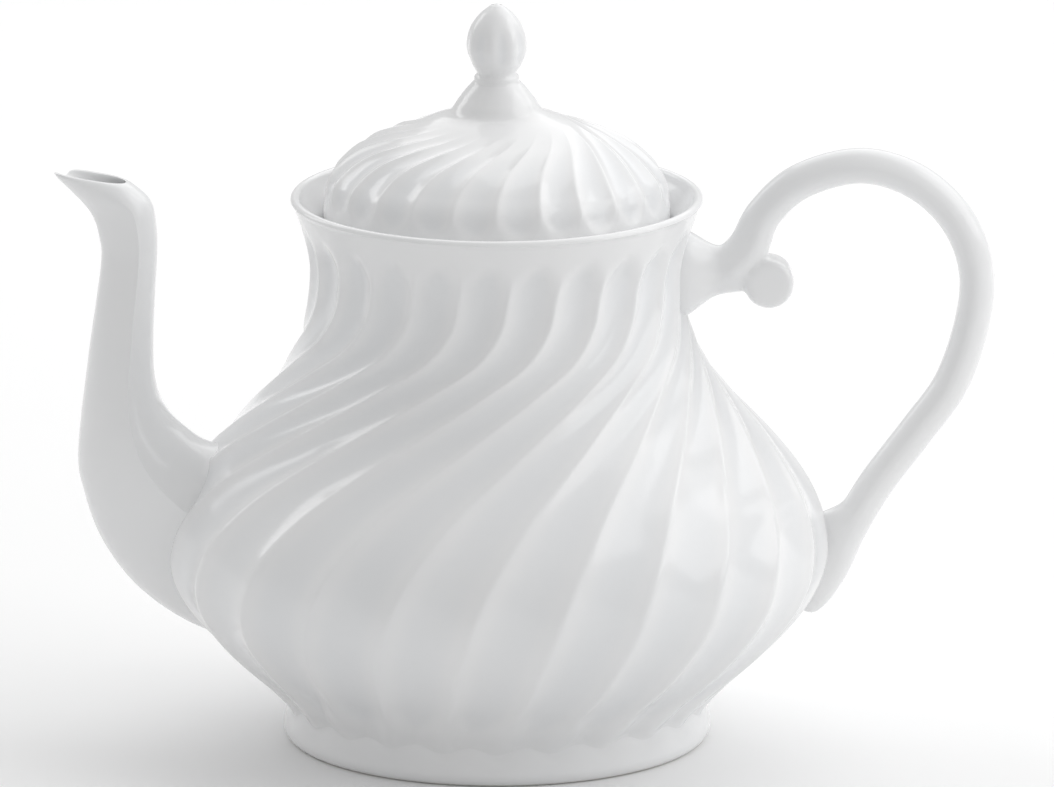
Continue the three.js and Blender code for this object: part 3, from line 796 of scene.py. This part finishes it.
# The lid's outside above its widest part: (share of the way out from the knob's waist to the
# lid's radius, share of the way up from the middle of the band to the top).
LID_DOME = [
    (1, 0), (0.967, 0.23), (0.88, 0.365), (0.76, 0.48), (0.6, 0.57), (0.44, 0.638), (0.3, 0.705),
    (0.18, 0.765), (0.123, 0.857), (0.072, 0.938), (0.025, 1)]
LID_FLUTE_START = 5.5 * MM  # how far below the top of the band a flute starts
LID_FLUTE_ARCH = 3 * MM  # by which a ridge starts higher than a flute's middle
LID_FLUTE_END = 4 * MM  # height over which a flute deepens
LID_CONE = (0.38, 0.82)  # shares of the lid's radius between which the flutes run out


def lid_outline(lid, steps):
    """The lid's outside from its band over the dome and up the cone."""
    low = LID_LOW.z + lid.band / 2
    reach, climb = lid.radius - lid.waist_radius, LID_HIGH.z - low
    points = [at(lid.waist_radius + out * reach, low + up * climb) for out, up in LID_DOME]
    return [between(points, i / steps) for i in range(steps + 1)]


def lid_mesh(lid, flutes):
    """The hollow lid: smooth band, fluted dome and smooth cone."""
    outside = lid_outline(lid, LID_STEPS)
    seat_inside = (FLANGE_HIGH.y - FLANGE_LOW.y) / 2 - lid.flange_wall
    inside = [
        p for p in reversed(offset(lid_outline(lid, LID_INNER_STEPS), lid.wall + lid.flute_depth))
        if 3 * MM < p.x < seat_inside]
    low = LID_LOW.z
    edge = arc(at(lid.radius - 1.4 * MM, low + 1.4 * MM), 1.2 * MM, -90, 0)
    profile = [at(0, inside[0].y), *inside]
    profile += [at(seat_inside, low + 4 * MM), at(seat_inside, low)]
    first = len(profile) + len(edge)
    profile += edge + outside + [at(0, LID_HIGH.z)]
    last = first + len(outside) - 1
    normals = [p - q for p, q in zip(profile, offset(profile, 1))]
    turn = math.degrees(lid.turn)

    def shape(row, share):
        point = profile[row]
        degrees, across = flute(share, flutes)
        degrees += turn * max(1 - point.x / lid.radius, 0) ** 2
        if not first <= row <= last:
            return point.x, degrees, point.y, 0
        arch = LID_FLUTE_ARCH * across * across
        from_band = point.y - low - lid.band + LID_FLUTE_START - arch
        ends = fade(from_band, 0, LID_FLUTE_END) * fade(point.x / lid.radius, *LID_CONE)
        depth = scoop(across) * ends
        place = point - normals[row] * depth * lid.flute_depth
        return place.x, degrees, place.y, depth

    return turned(profile, COLUMNS_PER_FLUTE * flutes, shape)


def vent_cutter(lid):
    """The steam hole at the back of the lid."""
    bm = bmesh.new()
    matrix = Matrix.Translation((AXIS_X, lid.vent_reach, LID_HIGH.z))
    add_rod(bm, lid.vent_radius, LID_HIGH.z - LID_LOW.z, matrix)
    return bm


def flange_mesh(lid):
    """The ring under the lid that keeps it central in the neck."""
    out = (FLANGE_HIGH.y - FLANGE_LOW.y) / 2
    low, high = FLANGE_LOW.z, LID_LOW.z
    rounding = 0.8 * MM
    inner = out - lid.flange_wall
    profile = [at(inner, high)]
    profile += arc(at(inner + rounding, low + rounding), rounding, 180, 270)
    profile += arc(at(out - rounding, low + rounding), rounding, 270, 360)
    profile += [at(out, high), profile[0]]
    return turned(profile, RING_COLUMNS)


def lug_mesh():
    """The tongue on the flange, rounded at its end and edges."""
    bm = bmesh.new()
    inner = (FLANGE_HIGH.y - FLANGE_LOW.y) / 2 - 0.5 * MM
    low = Vector((LUG_LOW.x, inner, LUG_LOW.z))
    centre, extent = (low + LUG_HIGH) / 2, LUG_HIGH - low
    bmesh.ops.create_cube(
        bm, size=1, matrix=Matrix.Translation(centre) @ Matrix.Diagonal((*extent, 1)))
    ends = [
        edge for edge in bm.edges
        if all(v.co.y > centre.y for v in edge.verts) and len({v.co.x for v in edge.verts}) == 1]
    round_off(bm, ends, 2 * MM, 8)
    edges = [edge for edge in bm.edges if edge.calc_face_angle() > math.radians(30)]
    round_off(bm, edges, 0.5 * MM, 4)
    return bm


# The bud above its waist: (share of its radius, share of its height).
BUD = [(0.84, 0.24), (1, 0.44), (0.88, 0.68), (0.54, 0.87), (0.19, 0.98)]
WAIST_UP = 0.12  # share of its height where its waist ends

RIBS_DEEPEN = (0.14, 0.36)  # shares of its height between which the hollows deepen
RIBS_END = (0.55, 0.85)  # shares of its height between which they run out
RIBS_TURN = -12  # of the first rib, in degrees


def knob_mesh(lid):
    """The ribbed bud on its waist."""
    radius = (KNOB_HIGH.y - KNOB_LOW.y) / 2
    height = KNOB_HIGH.z - KNOB_LOW.z
    low = KNOB_LOW.z
    waist = at(lid.waist_radius, low + WAIST_UP * height)
    points = [waist + mm(0.5, -1.2), waist]
    points += [at(out * radius, low + up * height) for out, up in BUD]
    bud = [between(points, i / KNOB_STEPS) for i in range(KNOB_STEPS + 1)]
    skirt = chain([(
        at(lid.waist_radius + 0.9 * MM, LID_HIGH.z - 0.05 * MM),
        at(lid.waist_radius + 0.4 * MM, LID_HIGH.z + 0.6 * MM),
        bud[0] - mm(-0.2, 0.5), bud[0])], (6,))
    tip_radius = 1.2 * MM
    tip = arc(at(0, KNOB_HIGH.z - tip_radius), tip_radius, 40, 90)
    profile = [at(0, skirt[0].y), *skirt, *bud[1:], *tip[1:-1], at(0, KNOB_HIGH.z)]

    def shape(row, share):
        point = profile[row]
        degrees, across = flute(share, lid.knob_ribs)
        up = (point.y - low) / height
        depth = (1 - swell(across)) * fade(up, *RIBS_DEEPEN) * (1 - fade(up, *RIBS_END))
        return point.x - depth * lid.knob_rib_depth, degrees + RIBS_TURN, point.y, depth

    return turned(profile, KNOB_COLUMNS_PER_RIB * lid.knob_ribs, shape)


# ---- Materials ----

class Socket:
    """A value in a material's nodes, on which arithmetic adds Math nodes."""

    def __init__(self, nodes, socket):
        self.nodes = nodes
        self.socket = socket

    def math(self, operation, *values):
        """The outcome of a Math node."""
        return self.nodes.add("ShaderNodeMath", {"operation": operation}, dict(enumerate(values)))

    def __add__(self, other):
        return self.math("ADD", self, other)

    def __rsub__(self, other):
        return self.math("SUBTRACT", other, self)

    def __mul__(self, other):
        return self.math("MULTIPLY", self, other)

    __radd__ = __add__

    def past(self, start, end):
        """Rises smoothly from 0 at the start to 1 at the end."""
        return self.nodes.add(
            "ShaderNodeMapRange", {"interpolation_type": "SMOOTHSTEP"},
            {"Value": self, "From Min": start, "From Max": end})


class Material:
    """A material and its nodes."""

    def __init__(self, name):
        self.made = bpy.data.materials.new(name)
        self.made.use_nodes = True
        self.tree = self.made.node_tree
        self.tree.nodes.clear()

    def add(self, kind, settings=None, values=None, output=0):
        """Adds a node: its settings first, then its sockets' values or links."""
        node = self.tree.nodes.new(kind)
        for name, value in (settings or {}).items():
            setattr(node, name, value)
        for name, value in (values or {}).items():
            if isinstance(value, Socket):
                self.tree.links.new(value.socket, node.inputs[name])
            else:
                node.inputs[name].default_value = value
        return Socket(self, node.outputs[output])

    def noise(self, scale, detail=2.0, roughness=0.5):
        """Soft noise on the object's own coordinates, in cycles per metre."""
        place = self.add("ShaderNodeTexCoord", output="Object")
        return self.add("ShaderNodeTexNoise", None, {
            "Vector": place, "Scale": scale, "Detail": detail, "Roughness": roughness})

    def height(self):
        """How high a point lies, in metres."""
        place = self.add("ShaderNodeTexCoord", output="Object")
        return self.add("ShaderNodeSeparateXYZ", None, {"Vector": place}, output="Z")

    def mix(self, factor, first, second):
        """One colour turning into another."""
        settings = {"data_type": "RGBA"}
        return self.add("ShaderNodeMix", settings, {0: factor, 6: first, 7: second}, output=2)

    def finish(self, values):
        """Ends the material in a Principled shader."""
        shader = self.add("ShaderNodeBsdfPrincipled", None, values)
        output = self.tree.nodes.new("ShaderNodeOutputMaterial")
        self.tree.links.new(shader.socket, output.inputs["Surface"])
        return self.made


WIPED_EDGE = 0.5 * MM  # height over which the glaze starts above a wiped face


def glaze(name, finishes, hollows=False, wiped_below=None):
    """Clear glaze over white porcelain: thicker and cooler in the hollows, faintly uneven, and
    wiped off the face that a piece is fired on."""
    material = Material(name)
    colours = finishes.porcelain, finishes.pooled, finishes.bisque
    porcelain, pooled, bisque = ((*c, 1) for c in colours)
    drift = material.noise(18, 3, 0.55)
    cloud = drift.past(0.35, 0.7) * 0.35
    if hollows:
        depth = material.add("ShaderNodeAttribute", {"attribute_name": "hollow"}, output="Fac")
        cloud = cloud + depth.past(0.3, 1.0) * 0.5
    tone = material.mix(cloud, porcelain, pooled)
    fine = material.noise(1400, 2, 0.6)
    roughness = finishes.roughness + drift.past(0.3, 0.75) * 0.05 + fine.past(0.62, 0.8) * 0.04
    if wiped_below is not None:
        bare = 1 - material.height().past(wiped_below, wiped_below + WIPED_EDGE)
        tone = material.mix(bare, tone, bisque)
        roughness = roughness + bare * 0.4
    waves = material.noise(55, 2, 0.45)
    peel = material.noise(420, 2, 0.5)
    relief = waves * 0.8 + peel * 0.12
    normal = material.add("ShaderNodeBump", None, {
        "Height": relief, "Strength": 1.0, "Distance": 0.06 * MM})
    return material.finish({
        "Base Color": tone, "Roughness": roughness, "Normal": normal, "IOR": 1.5,
        "Specular IOR Level": 0.5})


def bare_porcelain(name, finishes):
    """Smooth unglazed porcelain, with a fine tooth."""
    material = Material(name)
    bisque = (*finishes.bisque, 1)
    darker = (*(0.93 * c for c in finishes.bisque), 1)
    drift = material.noise(60, 3, 0.55)
    grain = material.noise(2600, 3, 0.65)
    cloud = drift.past(0.35, 0.7) * 0.6 + grain.past(0.55, 0.75) * 0.3
    tone = material.mix(cloud, bisque, darker)
    normal = material.add("ShaderNodeBump", None, {
        "Height": grain, "Strength": 0.6, "Distance": 0.03 * MM})
    return material.finish({
        "Base Color": tone, "Roughness": 0.5 + grain * 0.15, "Normal": normal, "IOR": 1.5,
        "Specular IOR Level": 0.4})


# ---- Operators ----

class TEAPOT_OT_pot(bpy.types.Operator):
    """Model the fluted pot, with its strainer and the ledge for the lid."""

    bl_idname = "teapot.pot"
    bl_label = "Pot"

    def execute(self, context):
        scene = context.scene
        pot = scene.teapot_pot
        material = glaze("pot_glaze", scene.teapot_finishes, hollows=True)
        made = piece("porcelain_pot", pot_mesh(pot), material)
        cut(made, pot_cutters(pot))
        stand_for(made, "pot", "pot_glaze", "pot_body")
        return {"FINISHED"}


class TEAPOT_OT_foot(bpy.types.Operator):
    """Model the foot ring, wiped bare underneath."""

    bl_idname = "teapot.foot"
    bl_label = "Foot ring"

    def execute(self, context):
        scene = context.scene
        material = glaze("foot_glaze", scene.teapot_finishes, wiped_below=0.3 * MM)
        made = piece("porcelain_foot", foot_mesh(scene.teapot_pot), material)
        stand_for(made, "pot", "foot_glaze", "foot_ring")
        return {"FINISHED"}


class TEAPOT_OT_spout(bpy.types.Operator):
    """Model the hollow spout with its beaked mouth."""

    bl_idname = "teapot.spout"
    bl_label = "Spout"

    def execute(self, context):
        scene = context.scene
        material = glaze("spout_glaze", scene.teapot_finishes)
        shell = spout_mesh(scene.teapot_pot, scene.teapot_spout)
        made = piece("porcelain_spout", shell, material, SHARP_FROM_STEEP)
        stand_for(made, "pot", "spout_glaze", "spout")
        return {"FINISHED"}


class TEAPOT_OT_handle(bpy.types.Operator):
    """Model the looped handle with its arm and scroll."""

    bl_idname = "teapot.handle"
    bl_label = "Handle"

    def execute(self, context):
        scene = context.scene
        material = glaze("handle_glaze", scene.teapot_finishes)
        made = handle_object(scene.teapot_pot, scene.teapot_handle, material)
        stand_for(made, "pot", "handle_glaze", "handle")
        return {"FINISHED"}


class TEAPOT_OT_lid(bpy.types.Operator):
    """Model the fluted lid with its steam hole, flange and lug."""

    bl_idname = "teapot.lid"
    bl_label = "Lid"

    def execute(self, context):
        scene = context.scene
        lid, finishes = scene.teapot_lid, scene.teapot_finishes
        material = glaze("lid_glaze", finishes, hollows=True, wiped_below=LID_LOW.z + 0.2 * MM)
        dome = piece("porcelain_lid", lid_mesh(lid, scene.teapot_pot.flutes), material)
        cut(dome, vent_cutter(lid))
        bisque = bare_porcelain("bisque", finishes)
        flange = piece("bisque_flange", flange_mesh(lid), bisque)
        lug = piece("bisque_lug", lug_mesh(), bisque, SHARP_FROM_STEEP)
        stand_for(dome, "lid", "lid_glaze", "lid")
        stand_for(flange, "lid", "bisque", "lid_flange")
        stand_for(lug, "lid", "bisque", "lid_lug")
        return {"FINISHED"}


class TEAPOT_OT_knob(bpy.types.Operator):
    """Model the bud knob on the lid."""

    bl_idname = "teapot.knob"
    bl_label = "Knob"

    def execute(self, context):
        scene = context.scene
        material = glaze("knob_glaze", scene.teapot_finishes, hollows=True)
        bud = knob_mesh(scene.teapot_lid)
        made = piece("porcelain_knob", bud, material, SHARP_FROM_STEEP)
        stand_for(made, "lid", "knob_glaze", "lid_knob")
        return {"FINISHED"}


class TEAPOT_OT_stage(bpy.types.Operator):
    """Set up the camera, the pale floor and the soft studio light."""

    bl_idname = "teapot.stage"
    bl_label = "Stage"

    def execute(self, context):
        scene = context.scene
        add_camera(scene)
        add_floor(scene)
        add_lights(scene)
        scene.view_settings.view_transform = "Standard"
        return {"FINISHED"}


# ---- Stage ----

CAMERA_HEIGHT_ANGLE = 14  # degrees above the table
CAMERA_DISTANCE = 4.0
CAMERA_AIM = Vector((0.8, 0, 84.2)) * MM
VIEW_WIDTH = 0.253  # at the pot's axis

SURROUND = 0.57  # brightness of the white surround
LIGHTS = [  # name, place, width, height, power in watts
    ("key", (1.1, -0.15, 0.75), 1, 1, 5),
    ("top", (0.35, 0.8, 1.3), 2.4, 1.8, 14),
    ("fill", (-0.95, 0.7, 0.75), 0.4, 0.8, 2),
]


def add_camera(scene):
    """A long lens a little above the pot, looking at its middle."""
    data = bpy.data.cameras.new("camera")
    data.sensor_width = 36
    data.lens = data.sensor_width * CAMERA_DISTANCE / VIEW_WIDTH
    data.clip_end = 20
    camera = bpy.data.objects.new("camera", data)
    scene.collection.objects.link(camera)
    angle = math.radians(CAMERA_HEIGHT_ANGLE)
    camera.location = CAMERA_AIM + CAMERA_DISTANCE * Vector((0, -math.cos(angle), math.sin(angle)))
    camera.rotation_euler = (math.pi / 2 - angle, 0, 0)
    scene.camera = camera


def add_floor(scene):
    """A plain pale floor, faintly uneven in its tone."""
    bm = bmesh.new()
    bmesh.ops.create_grid(bm, x_segments=1, y_segments=1, size=6)
    material = Material("pale_floor")
    pale = (*scene.teapot_finishes.floor, 1)
    shade = (*(0.985 * c for c in scene.teapot_finishes.floor), 1)
    tone = material.mix(material.noise(3, 2).past(0.3, 0.7), pale, shade)
    made = piece("floor", bm, material.finish({"Base Color": tone, "Roughness": 0.7}))


def add_lights(scene):
    """A bright surround, a key from the right, a large soft light above and behind, and a weak
    fill behind on the left."""
    world = bpy.data.worlds.new("surround")
    world.use_nodes = True
    background = world.node_tree.nodes["Background"].inputs
    background["Color"].default_value = (1, 1, 1, 1)
    background["Strength"].default_value = SURROUND
    scene.world = world
    middle = Vector((AXIS_X, 0, POT_HIGH.z / 2))
    for name, place, width, height, power in LIGHTS:
        data = bpy.data.lights.new(name, "AREA")
        data.shape = "RECTANGLE"
        data.size, data.size_y = width, height
        data.energy = power
        light = bpy.data.objects.new(name, data)
        light.location = place
        light.rotation_euler = (middle - light.location).to_track_quat("-Z", "Y").to_euler()
        scene.collection.objects.link(light)


# ---- Panel and registration ----

class TEAPOT_PT_panel(bpy.types.Panel):
    """The teapot's sizes, finishes and pieces."""

    bl_label = "Fluted Teapot"
    bl_idname = "TEAPOT_PT_panel"
    bl_space_type = "VIEW_3D"
    bl_region_type = "UI"
    bl_category = "Teapot"

    def draw(self, context):
        for name in GROUPS:
            group = getattr(context.scene, name)
            box = self.layout.box()
            for prop in group.bl_rna.properties:
                if not prop.is_readonly and prop.identifier != "name":
                    box.prop(group, prop.identifier)
        for operator in OPERATORS:
            self.layout.operator(operator.bl_idname)


GROUPS = {
    "teapot_pot": PotSizes,
    "teapot_spout": SpoutSizes,
    "teapot_handle": HandleSizes,
    "teapot_lid": LidSizes,
    "teapot_finishes": Finishes,
}
OPERATORS = (
    TEAPOT_OT_stage,
    TEAPOT_OT_pot,
    TEAPOT_OT_foot,
    TEAPOT_OT_spout,
    TEAPOT_OT_handle,
    TEAPOT_OT_lid,
    TEAPOT_OT_knob,
)
CLASSES = (*GROUPS.values(), *OPERATORS, TEAPOT_PT_panel)


def register():
    for cls in CLASSES:
        bpy.utils.register_class(cls)
    for name, group in GROUPS.items():
        setattr(bpy.types.Scene, name, PointerProperty(type=group))


def unregister():
    for name in GROUPS:
        delattr(bpy.types.Scene, name)
    for cls in reversed(CLASSES):
        bpy.utils.unregister_class(cls)


def main():
    """Builds the whole teapot."""
    register()
    bpy.ops.teapot.stage()
    bpy.ops.teapot.pot()
    bpy.ops.teapot.foot()
    bpy.ops.teapot.spout()
    bpy.ops.teapot.handle()
    bpy.ops.teapot.lid()
    bpy.ops.teapot.knob()


if __name__ == "__main__":
    main()
